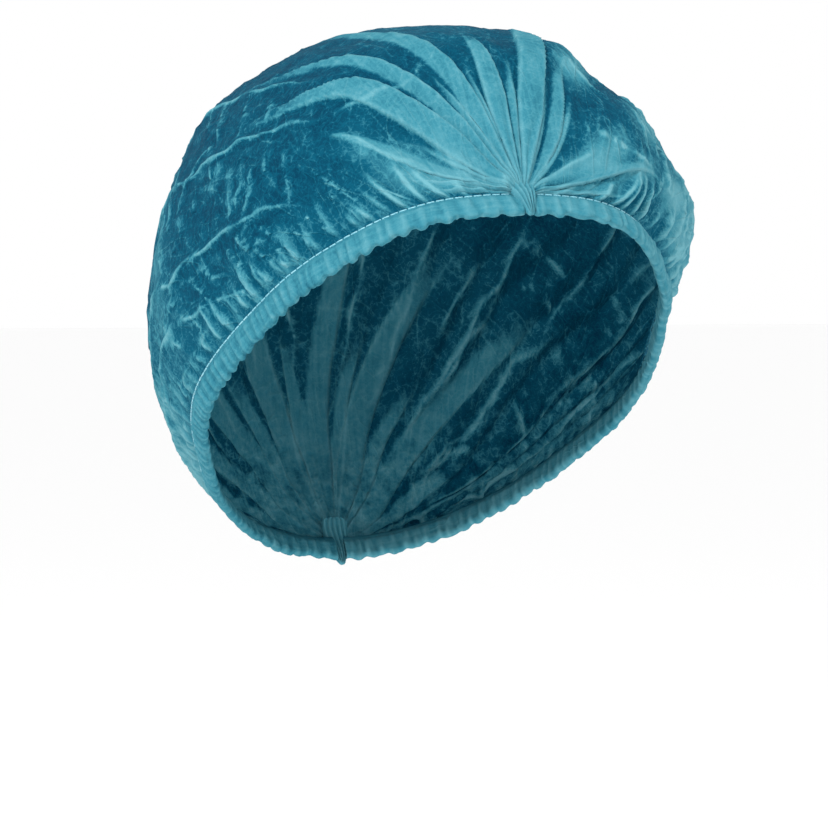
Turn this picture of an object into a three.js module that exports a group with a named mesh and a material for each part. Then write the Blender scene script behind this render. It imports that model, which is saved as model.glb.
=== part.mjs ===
// Disposable hairnet: a strip of nonwoven cloth pleated lengthwise, with its two ends bunched into a front
// and a back gather and its two long edges folded over an elastic, opened out as it is when worn.
// Millimetres, +Z up, -Y to the wearer's front, -X to the wearer's right.
// The origin is the middle of the head opening, in the plane of the hem.
import * as THREE from "three";

// Driving dimensions of the head opening
const OPENING_HALF_LENGTH = 109;
const OPENING_SLOPE = THREE.MathUtils.degToRad(32);

// Driving dimensions of the cloth and of the hem
const WALL = 1.1;
const GAP = 0.4;
const CASING_DEPTH = 8.6;
const CASING_WALL = 1.0;
const CASING_HOLLOW = 1.5;
const ELASTIC_RADIUS = 0.5;
const GATHER_RIBS = 3;
const GATHER_RIB_DEPTH = 0.45;
const GATHER_RIB_STEPS = 4;
const GATHER_EDGE = 0.3;
const GATHER_RISES_TO = 5;

// Where the crown and the casings stop short of the two gathers, in degrees round the opening
const CROWN_START = 2.0;
const CROWN_END = 177.2;
const CASING_START = 3.0;
const CASING_END = 173.6;

// How finely the faceted walls are cut
const CROWN_STEPS = 30;
const CROWN_WIDEST_STRIP = 8;
const CASING_STEPS = 36;
const FOLD_STEPS = 4;
const CORD_SIDES = 6;

// Sections of the cap, each in a plane across it. at: degrees round the opening from the front gather
// to the back gather. half: half-width of the hem. right and left: how far the cloth bulges past the hem.
// height: top of the cloth above the hem's plane. belly: height of the widest place. push: how far the
// crown leans back from the section's plane. lean: degrees that the casing flares outwards.
const SECTIONS = [
  { at: 0, half: 0, right: 0, left: 0, height: 0, belly: 0, push: 0, lean: 22 },
  { at: 15, half: 25, right: 5, left: 8, height: 56, belly: 12, push: 0, lean: 18 },
  { at: 35, half: 45, right: 9, left: 11, height: 75, belly: 26, push: -4, lean: 8 },
  { at: 60, half: 65, right: 9, left: 15, height: 100, belly: 32, push: 2, lean: -8 },
  { at: 90, half: 75, right: 8, left: 12, height: 120, belly: 35, push: 5, lean: -18 },
  { at: 120, half: 61, right: 11, left: 11, height: 110, belly: 27, push: 6, lean: -20 },
  { at: 148, half: 36, right: 11, left: 10, height: 80, belly: 16, push: 8, lean: -18 },
  { at: 168, half: 13, right: 8, left: 8, height: 42, belly: 8, push: 8, lean: -12 },
  { at: 180, half: 0, right: 0, left: 0, height: 0, belly: 0, push: 0, lean: -10 },
];

// Knife pleats. across: place of the crest, in hundredths of the way from the top line to the hem, minus
// on the wearer's right. width: from its foot to its crest, in the same hundredths, minus where the crest
// is the pleat's side towards the wearer's right. rise: height of the crest. carry: the share of the
// height that is left over the middle of the crown.
const PLEATS = [
  { across: -90, width: 8, rise: 1.2, carry: 0.2 },
  { across: -80, width: 8, rise: 1.6, carry: 0.4 },
  { across: -68, width: 8, rise: 2.2, carry: 0.3 },
  { across: -60, width: 6, rise: 1.6, carry: 0.8 },
  { across: -46, width: 9, rise: 2.6, carry: 0.7 },
  { across: -36, width: 7, rise: 2.4, carry: 0.4 },
  { across: -24, width: 8, rise: 2.6, carry: 0.4 },
  { across: -6, width: 6, rise: 2.0, carry: 0.3 },
  { across: 14, width: -9, rise: 3.0, carry: 0.5 },
  { across: 34, width: -7, rise: 2.4, carry: 0.4 },
  { across: 52, width: -10, rise: 2.6, carry: 0.5 },
  { across: 70, width: -10, rise: 2.4, carry: 0.4 },
  { across: 86, width: -8, rise: 1.4, carry: 0.3 },
];
const PLEAT_DROP = 0.22;
const STEEPEST_PLEAT = 0.3;

// The bunched ends, from their free tip upwards. above: height over the hem's line. half: half-width.
// thick: front to back. forward: how far the bunch stands in front of the hem's line.
const GATHER_SECTIONS = [
  { above: -10.4, half: 1.3, thick: 1.8, forward: 0.6 },
  { above: -8.5, half: 2.2, thick: 2.8, forward: 0.4 },
  { above: -5.0, half: 3.2, thick: 3.4, forward: 0.4 },
  { above: -1.5, half: 3.9, thick: 3.4, forward: 1.0 },
  { above: 1.0, half: 4.4, thick: 2.6, forward: 2.9 },
  { above: 4.0, half: 4.4, thick: 2.2, forward: 3.2 },
  { above: 7.5, half: 3.4, thick: 1.4, forward: 3.0 },
];

// Axes of the opening: towards the front gather, up out of the hem's plane, and to the wearer's left
const TO_FRONT = new THREE.Vector3(0, -Math.cos(OPENING_SLOPE), Math.sin(OPENING_SLOPE));
const OFF_PLANE = new THREE.Vector3(0, Math.sin(OPENING_SLOPE), Math.cos(OPENING_SLOPE));
const TO_LEFT = new THREE.Vector3(1, 0, 0);

// Slope of a column at section i, so that a curve through the sections never overshoots them
function slopeAt(column, i) {
  if (i === 0 || i === SECTIONS.length - 1) {
    const j = Math.min(i, SECTIONS.length - 2);
    return (SECTIONS[j + 1][column] - SECTIONS[j][column]) / (SECTIONS[j + 1].at - SECTIONS[j].at);
  }
  const before = SECTIONS[i].at - SECTIONS[i - 1].at;
  const after = SECTIONS[i + 1].at - SECTIONS[i].at;
  const rising = (SECTIONS[i][column] - SECTIONS[i - 1][column]) / before;
  const leaving = (SECTIONS[i + 1][column] - SECTIONS[i][column]) / after;
  if (rising * leaving <= 0) return 0;
  const shareBefore = 2 * after + before;
  const shareAfter = after + 2 * before;
  return (shareBefore + shareAfter) / (shareBefore / rising + shareAfter / leaving);
}

// A column of the table at any angle round the opening
function size(column, at) {
  const last = SECTIONS.length - 2;
  let i = 0;
  while (i < last && at > SECTIONS[i + 1].at) i += 1;
  const span = SECTIONS[i + 1].at - SECTIONS[i].at;
  const s = (at - SECTIONS[i].at) / span;
  const near = (1 + 2 * s) * (1 - s) ** 2 * SECTIONS[i][column];
  const far = s * s * (3 - 2 * s) * SECTIONS[i + 1][column];
  const leave = s * (1 - s) ** 2 * span * slopeAt(column, i);
  const arrive = s * s * (s - 1) * span * slopeAt(column, i + 1);
  return near + far + leave + arrive;
}

// A place given along the opening's own axes
function place(front, left, up) {
  return new THREE.Vector3()
    .addScaledVector(TO_FRONT, front)
    .addScaledVector(TO_LEFT, left)
    .addScaledVector(OFF_PLANE, up);
}

// The smooth cloth without its pleats. side runs from -1, the hem on the wearer's right, to 1 on the left
function smoothCloth(at, side) {
  const half = size("half", at);
  const widest = half + size(side < 0 ? "right" : "left", at);
  const hemTurn = Math.PI - Math.asin(half / widest);
  const turn = side * hemTurn;
  const belly = size("belly", at);
  const above = Math.cos(turn);
  const reach = above > 0 ? size("height", at) - belly : -belly / Math.cos(hemTurn);
  const front = OPENING_HALF_LENGTH * Math.cos(THREE.MathUtils.degToRad(at));
  const back = size("push", at) * Math.cos(turn / 2) ** 2;
  return place(front - back, widest * Math.sin(turn), belly + reach * above);
}

// The direction straight out of the smooth cloth
function outOfCloth(at, side) {
  const step = 0.01;
  const low = Math.max(side - step, -1);
  const high = Math.min(side + step, 1);
  const across = smoothCloth(at, high).sub(smoothCloth(at, low));
  const along = smoothCloth(at + step, side).sub(smoothCloth(at - step, side));
  return along.cross(across).normalize();
}

// Length of the cloth from hem to hem at one section
function girth(at) {
  const pieces = 40;
  let total = 0;
  for (let i = 0; i < pieces; i += 1) {
    const from = smoothCloth(at, (2 * i) / pieces - 1);
    total += from.distanceTo(smoothCloth(at, (2 * i + 2) / pieces - 1));
  }
  return total;
}

// How far the pleats lift the cloth at one place: each climbs from its foot to its crest, then drops
function pleatLift(at, side, clothGirth) {
  const open = Math.sin(THREE.MathUtils.degToRad(at)) ** 2;
  return PLEATS.reduce((lift, pleat) => {
    const width = pleat.width / 100;
    const run = (side - (pleat.across / 100 - width)) / width;
    if (run <= 0 || run >= 1 + PLEAT_DROP) return lift;
    const climb = run < 1 ? run * run * (3 - 2 * run) : 1 - (run - 1) / PLEAT_DROP;
    const steepest = (STEEPEST_PLEAT * Math.abs(width) * clothGirth) / 2;
    const rise = pleat.rise * (1 - open * (1 - pleat.carry));
    return Math.max(lift, Math.min(rise, steepest) * climb);
  }, 0);
}

// Places from hem to hem where the crown is cut: the feet, crests and drops of the pleats, and even
// steps between them
function crownCuts() {
  const marks = [-1, 1];
  PLEATS.forEach(({ across, width }) => {
    marks.push((across - width) / 100, across / 100, (across + width * PLEAT_DROP) / 100);
  });
  marks.sort((a, b) => a - b);
  const cuts = [marks[0]];
  marks.slice(1).forEach((mark) => {
    const from = cuts[cuts.length - 1];
    const pieces = Math.ceil(((mark - from) * 100) / CROWN_WIDEST_STRIP);
    for (let i = 1; i <= pieces; i += 1) cuts.push(from + ((mark - from) * i) / pieces);
  });
  return cuts.filter((cut, i) => i === 0 || cut - cuts[i - 1] > 0.004);
}

// A closed wall through a row of sections, each an outer and an inner line with the same number of points
function wallThrough(sections) {
  const loops = sections.map(({ outer, inner }) => [...outer, ...[...inner].reverse()]);
  const across = loops[0].length;
  const half = across / 2;
  const faces = [];
  const quad = (a, b, c, d) => faces.push(a, b, c, a, c, d);
  for (let i = 0; i + 1 < loops.length; i += 1) {
    for (let j = 0; j < across; j += 1) {
      const next = (j + 1) % across;
      quad(i * across + j, (i + 1) * across + j, (i + 1) * across + next, i * across + next);
    }
  }
  const end = (loops.length - 1) * across;
  for (let j = 0; j + 1 < half; j += 1) {
    const facing = across - 1 - j;
    quad(j, j + 1, facing - 1, facing);
    quad(end + j, end + facing, end + facing - 1, end + j + 1);
  }
  const geometry = new THREE.BufferGeometry().setFromPoints(loops.flat());
  geometry.setIndex(faces);
  geometry.computeVertexNormals();
  return geometry;
}

// The crown: the sheet lifted along its pleats, with one wall thickness all over
function crownGeometry() {
  const cuts = crownCuts();
  const sections = [];
  for (let i = 0; i <= CROWN_STEPS; i += 1) {
    const even = i / CROWN_STEPS;
    const eased = even - Math.sin(2 * Math.PI * even) / (4 * Math.PI);
    const at = CROWN_START + (CROWN_END - CROWN_START) * eased;
    const clothGirth = girth(at);
    const outer = [];
    const inner = [];
    cuts.forEach((side) => {
      const out = outOfCloth(at, side);
      const middle = smoothCloth(at, side).addScaledVector(out, pleatLift(at, side, clothGirth));
      outer.push(middle.clone().addScaledVector(out, WALL / 2));
      inner.push(middle.clone().addScaledVector(out, -WALL / 2));
    });
    sections.push({ outer, inner });
  }
  return wallThrough(sections);
}

// The hem at one place: its top, the way the casing hangs from it, and the way that faces out
function hemFrame(at, side) {
  const top = smoothCloth(at, side);
  const along = smoothCloth(at + 0.5, side).sub(smoothCloth(at - 0.5, side)).normalize();
  const outwards = new THREE.Vector3().crossVectors(along, OFF_PLANE).multiplyScalar(side).normalize();
  const lean = THREE.MathUtils.degToRad(size("lean", at));
  const down = OFF_PLANE.clone().multiplyScalar(-Math.cos(lean)).addScaledVector(outwards, Math.sin(lean));
  const out = outwards.clone().multiplyScalar(Math.cos(lean)).addScaledVector(OFF_PLANE, Math.sin(lean));
  return { top, down, out };
}

// One line of the folded hem: down the outside, round the fold and up the inside
function foldLine({ top, down, out }, halfThickness) {
  const fold = CASING_DEPTH - CASING_HOLLOW / 2 - CASING_WALL;
  const line = [top.clone().addScaledVector(down, GAP).addScaledVector(out, halfThickness)];
  for (let i = 0; i <= FOLD_STEPS; i += 1) {
    const turn = (Math.PI * i) / FOLD_STEPS;
    line.push(
      top
        .clone()
        .addScaledVector(down, fold + halfThickness * Math.sin(turn))
        .addScaledVector(out, halfThickness * Math.cos(turn)),
    );
  }
  line.push(top.clone().addScaledVector(down, GAP).addScaledVector(out, -halfThickness));
  return line;
}

// A casing: the cloth edge folded up round the elastic, open along its top where the stitches close it
function casingGeometry(side) {
  const sections = [];
  for (let i = 0; i <= CASING_STEPS; i += 1) {
    const frame = hemFrame(CASING_START + ((CASING_END - CASING_START) * i) / CASING_STEPS, side);
    const outer = foldLine(frame, CASING_HOLLOW / 2 + CASING_WALL);
    const inner = foldLine(frame, CASING_HOLLOW / 2);
    sections.push(side > 0 ? { outer: inner, inner: outer } : { outer, inner });
  }
  return wallThrough(sections);
}

// The elastic: a round cord that lies in the fold of its casing
function elasticGeometry(side) {
  const depth = CASING_DEPTH - CASING_WALL - CASING_HOLLOW / 2;
  const route = [];
  for (let i = 0; i <= CASING_STEPS; i += 1) {
    const { top, down } = hemFrame(CASING_START + ((CASING_END - CASING_START) * i) / CASING_STEPS, side);
    route.push(top.addScaledVector(down, depth));
  }
  const round = new THREE.Shape();
  for (let i = 0; i < CORD_SIDES; i += 1) {
    const turn = (2 * Math.PI * i) / CORD_SIDES;
    const corner = [ELASTIC_RADIUS * Math.cos(turn), ELASTIC_RADIUS * Math.sin(turn)];
    if (i === 0) round.moveTo(...corner);
    else round.lineTo(...corner);
  }
  round.closePath();
  return new THREE.ExtrudeGeometry(round, {
    steps: CASING_STEPS,
    extrudePath: new THREE.CatmullRomCurve3(route),
  });
}

// A gather: the strip's end bunched into upright ribs. end is 1 at the front and -1 at the nape
function gatherGeometry(end) {
  const lean = THREE.MathUtils.degToRad(size("lean", end > 0 ? 0 : 180));
  const outwards = TO_FRONT.clone().multiplyScalar(end);
  const up = OFF_PLANE.clone().multiplyScalar(Math.cos(lean)).addScaledVector(outwards, -Math.sin(lean));
  const out = outwards.clone().multiplyScalar(Math.cos(lean)).addScaledVector(OFF_PLANE, Math.sin(lean));
  const middle = place(end * OPENING_HALF_LENGTH, 0, 0);
  const risesTo = smoothCloth(end > 0 ? GATHER_RISES_TO : 180 - GATHER_RISES_TO, 0);
  const rise = risesTo.sub(middle).normalize();
  const steps = GATHER_RIB_STEPS * GATHER_RIBS;
  const sections = GATHER_SECTIONS.map(({ above, half, thick, forward }) => {
    const at = (i, facing) => {
      const s = i / steps;
      const rounded = Math.sqrt(Math.max(1 - (2 * s - 1) ** 4, 0));
      const rib = GATHER_RIB_DEPTH * Math.cos(2 * Math.PI * GATHER_RIBS * s + (facing > 0 ? Math.PI : 0));
      const depth = (thick / 2 - GATHER_RIB_DEPTH + rib) * rounded + GATHER_EDGE;
      return middle
        .clone()
        .addScaledVector(above < 0 ? up : rise, above)
        .addScaledVector(TO_LEFT, half * (2 * s - 1))
        .addScaledVector(out, forward + facing * depth);
    };
    const row = Array.from({ length: steps + 1 }, (_, i) => i);
    return { outer: row.map((i) => at(i, -end)), inner: row.map((i) => at(i, end)) };
  });
  return wallThrough(sections);
}

const cloth = new THREE.MeshStandardMaterial({ color: 0x3a90a8, roughness: 0.85, metalness: 0 });
const hemCloth = new THREE.MeshStandardMaterial({ color: 0x4a9db5, roughness: 0.85, metalness: 0 });
const rubber = new THREE.MeshStandardMaterial({ color: 0xd9dcd6, roughness: 0.6, metalness: 0 });

// A named piece of the hairnet
function piece(name, geometry, material) {
  const mesh = new THREE.Mesh(geometry, material);
  mesh.name = name;
  return mesh;
}

const hairnet = new THREE.Group();
hairnet.add(piece("crown", crownGeometry(), cloth));
hairnet.add(piece("casing_right", casingGeometry(-1), hemCloth));
hairnet.add(piece("casing_left", casingGeometry(1), hemCloth));
hairnet.add(piece("elastic_right", elasticGeometry(-1), rubber));
hairnet.add(piece("elastic_left", elasticGeometry(1), rubber));
hairnet.add(piece("front_gather", gatherGeometry(1), hemCloth));
hairnet.add(piece("back_gather", gatherGeometry(-1), hemCloth));

export default hairnet;
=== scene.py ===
# %% [markdown]
# # A pleated hairnet of nonwoven cloth
# The real thing is one strip of thin spunbond cloth. It is pleated lengthwise, its two ends are bunched,
# and its two long edges are folded over an elastic. Opened out, it is a bag whose pleats fan out from a
# bunch over the forehead and meet again in a bunch at the nape. The imported model gives the frame that
# every piece here is made in, in metres, so it is loaded first.

# %% Load the frame
import math
import bpy
import numpy as np
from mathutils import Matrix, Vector, noise


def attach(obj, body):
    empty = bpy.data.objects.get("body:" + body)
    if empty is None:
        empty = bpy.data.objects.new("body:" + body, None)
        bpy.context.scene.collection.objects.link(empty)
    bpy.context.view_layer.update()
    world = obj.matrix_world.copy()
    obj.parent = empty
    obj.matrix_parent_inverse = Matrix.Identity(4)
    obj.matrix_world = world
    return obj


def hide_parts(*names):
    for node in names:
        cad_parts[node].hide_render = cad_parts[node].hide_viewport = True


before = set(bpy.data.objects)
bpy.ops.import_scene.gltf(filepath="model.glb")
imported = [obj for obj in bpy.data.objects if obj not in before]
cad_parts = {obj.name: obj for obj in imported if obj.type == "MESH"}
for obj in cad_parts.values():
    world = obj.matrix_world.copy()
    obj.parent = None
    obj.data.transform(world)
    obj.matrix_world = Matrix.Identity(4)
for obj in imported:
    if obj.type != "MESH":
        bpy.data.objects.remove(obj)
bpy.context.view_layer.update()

MM = 0.001
print("nodes:", sorted(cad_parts))

# %% [markdown]
# ## The camera, the floor and the light
# The cap is seen from a little to the wearer's right, almost level with it. A long lens keeps its
# proportions. The floor and the sky are both near white, so the cap stands against an even ground. A
# soft lamp at the upper left gives the folds their shading, and a weaker one at the right lightens the
# far side.

# %% Camera
CAMERA_AZIMUTH = math.radians(-18.7)
CAMERA_ELEVATION = math.radians(2.0)
CAMERA_DISTANCE = 1.5
CAMERA_LENS = 201.2
SENSOR_WIDTH = 36
CAMERA_ASIDE = -3.3 * MM
CAMERA_BELOW = -11.7 * MM


def add_camera():
    """A camera that looks at a point just below the middle of the head opening."""
    towards = Vector((math.sin(CAMERA_AZIMUTH) * math.cos(CAMERA_ELEVATION),
                      -math.cos(CAMERA_AZIMUTH) * math.cos(CAMERA_ELEVATION),
                      math.sin(CAMERA_ELEVATION)))
    aside = Vector((math.cos(CAMERA_AZIMUTH), math.sin(CAMERA_AZIMUTH), 0))
    upright = towards.cross(aside)
    target = CAMERA_ASIDE * aside + CAMERA_BELOW * upright
    data = bpy.data.cameras.new("camera")
    data.lens = CAMERA_LENS
    data.sensor_width = SENSOR_WIDTH
    camera = bpy.data.objects.new("camera", data)
    camera.location = target + CAMERA_DISTANCE * towards
    camera.rotation_euler = towards.to_track_quat("Z", "Y").to_euler()
    bpy.context.collection.objects.link(camera)
    bpy.context.scene.camera = camera
    return camera


camera = add_camera()
bpy.context.scene.view_settings.view_transform = "Standard"
print("camera at", [round(v, 3) for v in camera.location])

# %% Floor, sky and lamps
FLOOR_HEIGHT = -0.32
FLOOR_SIZE = 40
FLOOR_TONE = (0.97, 0.97, 0.97, 1)
FLOOR_ROUGHNESS = 0.9
SKY_TONE = (1, 1, 1, 1)
SKY_STRENGTH = 1.0


def add_shape(add, **settings):
    """The object that one of Blender's add operators makes."""
    bpy.ops.object.select_all(action="DESELECT")
    add(**settings)
    return bpy.context.object


def add_floor():
    """A wide pale floor below the cap, which is held in the air as a head holds it."""
    floor = add_shape(bpy.ops.mesh.primitive_plane_add, size=FLOOR_SIZE, location=(0, 0, FLOOR_HEIGHT))
    floor.name = "floor"
    paint = bpy.data.materials.new("pale_floor")
    paint.use_nodes = True
    surface = paint.node_tree.nodes["Principled BSDF"]
    surface.inputs["Base Color"].default_value = FLOOR_TONE
    surface.inputs["Roughness"].default_value = FLOOR_ROUGHNESS
    floor.data.materials.append(paint)


def add_lamp(name, place, size, power):
    """A square soft lamp that faces the cap."""
    data = bpy.data.lights.new(name, "AREA")
    data.size = size
    data.energy = power
    lamp = bpy.data.objects.new(name, data)
    lamp.location = place
    lamp.rotation_euler = Vector(place).to_track_quat("Z", "Y").to_euler()
    bpy.context.collection.objects.link(lamp)


add_floor()
add_lamp("lamp_upper_left", place=(-1.1, -1.0, 1.2), size=0.5, power=26)
add_lamp("lamp_right", place=(1.4, -0.7, 0.5), size=0.9, power=5)
sky = bpy.data.worlds.new("sky")
sky.use_nodes = True
sky.node_tree.nodes["Background"].inputs["Color"].default_value = SKY_TONE
sky.node_tree.nodes["Background"].inputs["Strength"].default_value = SKY_STRENGTH
bpy.context.scene.world = sky
print("lamps:", [lamp.name for lamp in bpy.data.lights])

# %% [markdown]
# ## The form of the opened cap
# The cap is described by sections across it, from the front bunch to the back one. A row gives the
# degrees round the opening, the hem's half-width, how far the cloth bulges past the hem on each side,
# and how high it stands, in millimetres. Then come the height of its widest place, how far its top is
# pushed back, and the hem's lean in degrees. A smooth curve through the rows gives every section between,
# so one formula places any point of the cloth from two numbers: the degrees round the opening, and the
# place from hem (-1) over the top (0) to hem (1).

# %% Sections
OPENING_HALF_LENGTH = 109
OPENING_SLOPE = math.radians(32)
SECTION_COLUMNS = ("at", "half", "right", "left", "height", "belly", "push", "lean")
SECTIONS = np.array([
    (0, 0, 0, 0, 0, 0, 0, 22),
    (15, 25, 5, 8, 56, 12, 0, 18),
    (35, 45, 9, 11, 75, 26, -4, 8),
    (60, 65, 9, 15, 100, 32, 2, -8),
    (90, 75, 8, 12, 120, 35, 5, -18),
    (120, 61, 11, 11, 110, 27, 6, -20),
    (148, 36, 11, 10, 80, 16, 8, -18),
    (168, 13, 8, 8, 42, 8, 8, -12),
    (180, 0, 0, 0, 0, 0, 0, -10),
], float)
SECTION_AT = SECTIONS[:, 0]
TO_FRONT = np.array([0, -math.cos(OPENING_SLOPE), math.sin(OPENING_SLOPE)])
OFF_PLANE = np.array([0, math.sin(OPENING_SLOPE), math.cos(OPENING_SLOPE)])
TO_LEFT = np.array([1.0, 0, 0])


def steepness(values):
    """Slope of a column at each row, chosen so that the curve never overshoots the rows."""
    gaps = np.diff(SECTION_AT)
    rises = np.diff(values) / gaps
    slopes = np.zeros(len(values))
    for i in range(1, len(values) - 1):
        if rises[i - 1] * rises[i] > 0:
            before = 2 * gaps[i] + gaps[i - 1]
            after = gaps[i] + 2 * gaps[i - 1]
            slopes[i] = (before + after) / (before / rises[i - 1] + after / rises[i])
    slopes[0], slopes[-1] = rises[0], rises[-1]
    return slopes


def size(name, at):
    """A column of the table at any angles round the opening."""
    values = SECTIONS[:, SECTION_COLUMNS.index(name)]
    slopes = steepness(values)
    i = np.clip(np.searchsorted(SECTION_AT, at, side="right") - 1, 0, len(SECTIONS) - 2)
    span = SECTION_AT[i + 1] - SECTION_AT[i]
    s = (at - SECTION_AT[i]) / span
    near = (1 + 2 * s) * (1 - s) ** 2 * values[i]
    far = s * s * (3 - 2 * s) * values[i + 1]
    return near + far + s * (1 - s) ** 2 * span * slopes[i] + s * s * (s - 1) * span * slopes[i + 1]


print("sections at", SECTION_AT.astype(int).tolist(), "degrees")

# %% From two numbers to a point
AXIS_STEP = 0.01
HEM_STEP = 0.5


def place(front, left, up):
    """Points given along the opening's own axes, in millimetres."""
    return front[..., None] * TO_FRONT + left[..., None] * TO_LEFT + up[..., None] * OFF_PLANE


def smooth_cloth(at, side):
    """The cloth without folds."""
    half = size("half", at)
    widest = half + np.where(side < 0, size("right", at), size("left", at))
    hem_turn = math.pi - np.arcsin(half / widest)
    turn = side * hem_turn
    belly = size("belly", at)
    above = np.cos(turn)
    reach = np.where(above > 0, size("height", at) - belly, -belly / np.cos(hem_turn))
    front = OPENING_HALF_LENGTH * np.cos(np.radians(at)) - size("push", at) * np.cos(turn / 2) ** 2
    return place(front, widest * np.sin(turn), belly + reach * above)


def unit(vectors):
    """The same directions, each with the length 1."""
    return vectors / np.linalg.norm(vectors, axis=-1, keepdims=True)


def cloth_axes(at, side):
    """Unit vectors across the cloth towards the left hem, and out of it."""
    towards_left = smooth_cloth(at, np.minimum(side + AXIS_STEP, 1))
    across = towards_left - smooth_cloth(at, np.maximum(side - AXIS_STEP, -1))
    along = smooth_cloth(at + AXIS_STEP, side) - smooth_cloth(at - AXIS_STEP, side)
    return unit(across), unit(np.cross(across, along))


def hem_frame(at, left):
    """The stitched line and unit vectors down the casing, out of it and along it."""
    side = np.full_like(at, 1.0 if left else -1.0)
    top = smooth_cloth(at, side)
    along = unit(smooth_cloth(at + HEM_STEP, side) - smooth_cloth(at - HEM_STEP, side))
    outwards = unit(np.cross(along, OFF_PLANE) * (1 if left else -1))
    lean = np.radians(size("lean", at))[:, None]
    down = -OFF_PLANE * np.cos(lean) + outwards * np.sin(lean)
    out = outwards * np.cos(lean) + OFF_PLANE * np.sin(lean)
    return top, down, out, along


CHART_AT = np.linspace(0.5, 179.5, 180)
CHART_SIDE = np.linspace(-1, 1, 81)


def measure_girths():
    """Length of the cloth from hem to hem at each degree, and of each hem up to each degree."""
    at, side = np.meshgrid(CHART_AT, CHART_SIDE, indexing="ij")
    points = smooth_cloth(at, side)
    girths = np.linalg.norm(np.diff(points, axis=1), axis=-1).sum(axis=1)
    hem = np.concatenate([[0], np.cumsum(np.linalg.norm(np.diff(points[:, 0], axis=0), axis=-1))])
    return girths, hem


GIRTHS, HEM_LENGTHS = measure_girths()
print("widest girth", round(max(GIRTHS)), "mm, hem of one side", round(HEM_LENGTHS[-1]), "mm")

# %% [markdown]
# ## The pleats
# Each pleat is a flat band of doubled cloth that starts in a bunch and fans out until it opens. Its
# width stays about the same in millimetres, so near the bunch the bands overlap, and only the raised
# edge of each one shows. A row of a table is one band from the front bunch or from the back one: its
# path, first in degrees from that bunch and then in hundredths from the top line to the hem, its width
# and rise in millimetres, how many degrees it reaches, and which edge stands up (1 the left one, -1 the
# right one, 0 both).

# %% Tables of pleats
FRONT_PLEATS = [
    ([0, 11, 27, 62], [22, 20, 17, 15], 7.6, 2.6, 62, 0),
    ([0, 7, 15, 24], [48, 40, 31, 28], 4.8, 2.0, 26, 1),
    ([0, 16], [54, 36], 2.6, 1.3, 16, 1),
    ([0, 14], [63, 60], 2.8, 1.0, 14, -1),
    ([0, 6, 11, 17, 29, 42], [82, 76, 71, 70, 76, 84], 4.6, 2.4, 42, 1),
    ([0, 24], [88, 92], 3.6, 1.0, 24, 1),
    ([0, 15], [33, 25], 2.4, 1.3, 15, 1),
    ([0, 16], [8, 8], 3.0, 1.5, 16, 1),
    ([0, 9, 24], [-8, -4, -4], 7.0, 2.0, 27, 0),
    ([0, 15], [-18, -16], 3.0, 1.4, 15, 1),
    ([0, 9, 15, 32, 47, 74], [-29, -25, -26, -23, -23, -20], 6.6, 2.3, 78, 1),
    ([0, 18], [-36, -33], 3.0, 1.5, 18, 1),
    ([0, 9, 16, 29, 41, 62, 75], [-47, -43, -42, -39, -39, -44, -43], 5.2, 2.2, 76, 1),
    ([0, 8, 14, 30, 42, 55, 66], [-62, -56, -53, -49, -54, -57, -60], 8.2, 2.3, 66, 0),
    ([0, 16], [-68, -62], 3.4, 1.4, 16, -1),
    ([0, 7, 18, 32, 40], [-76, -74, -69, -66, -64], 4.2, 1.8, 40, -1),
    ([0, 20], [-82, -84], 3.4, 1.2, 20, 1),
    ([0, 18], [-90, -92], 3.4, 1.0, 18, 1),
]
BACK_PLEATS = [
    ([0, 14, 34, 64], [4, 3, 7, 9], 9.0, 2.3, 66, 1),
    ([0, 20, 36], [17, 16, 19], 5.0, 1.9, 36, 1),
    ([0, 16, 36, 60], [28, 25, 27, 33], 9.0, 2.3, 62, 0),
    ([0, 18, 34], [40, 37, 40], 5.0, 1.8, 34, 1),
    ([0, 18, 40, 66], [52, 48, 51, 58], 8.0, 2.1, 68, 1),
    ([0, 18, 36], [66, 62, 66], 5.4, 1.9, 36, 1),
    ([0, 20, 46], [80, 76, 80], 6.4, 1.8, 46, 1),
    ([0, 18, 34], [-9, -7, -9], 5.4, 1.9, 34, -1),
    ([0, 16, 40, 66], [-22, -18, -20, -25], 9.4, 2.3, 68, 0),
    ([0, 18, 34], [-35, -31, -34], 5.2, 1.8, 34, -1),
    ([0, 16, 40, 62], [-45, -41, -44, -49], 8.4, 2.2, 64, -1),
    ([0, 18, 38], [-58, -55, -58], 5.4, 1.9, 38, -1),
    ([0, 16, 44], [-70, -67, -70], 6.8, 1.9, 46, -1),
    ([0, 26], [-84, -82], 5.0, 1.5, 28, -1),
]
print("pleats from the front:", len(FRONT_PLEATS), "and from the back:", len(BACK_PLEATS))

# %% Raise the pleats
PATH_STEPS = 60
PATH_BLUR = 6
FADES_FROM = (0.3, 0.45)
NARROWEST = (0.22, 0.5)
GIRTH_WHERE_FULL = 95
MOST_CROWDED = 0.22
PLEAT_LOFT = 0.75
FLAT_TILT = 0.55
CREST_TILT = 0.45
PLEAT_EDGE = 0.7
PLEAT_OVERHANG = 0.7
OVERHANG_POWER = 8
DOUBLED_BELOW = 0.7
EDGE_HIGHLIGHT_WIDTH = 0.6
EDGE_HIGHLIGHT_BELOW = 0.25


def ease(low, high, x):
    """0 below low, 1 above high, and a smooth step between."""
    s = np.clip((x - low) / (high - low), 0, 1)
    return s * s * (3 - 2 * s)


def follow(ats, sides, at):
    """Hundredths at any degrees of a path, on a smooth curve through its points."""
    if len(ats) < 3:
        return np.interp(at, ats, sides)
    even = np.linspace(ats[0], ats[-1], PATH_STEPS)
    padded = np.pad(np.interp(even, ats, sides), PATH_BLUR, "reflect", reflect_type="odd")
    weights = np.hanning(2 * PATH_BLUR + 3)[1:-1]
    return np.interp(at, even, np.convolve(padded, weights / weights.sum(), "valid"))


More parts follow.
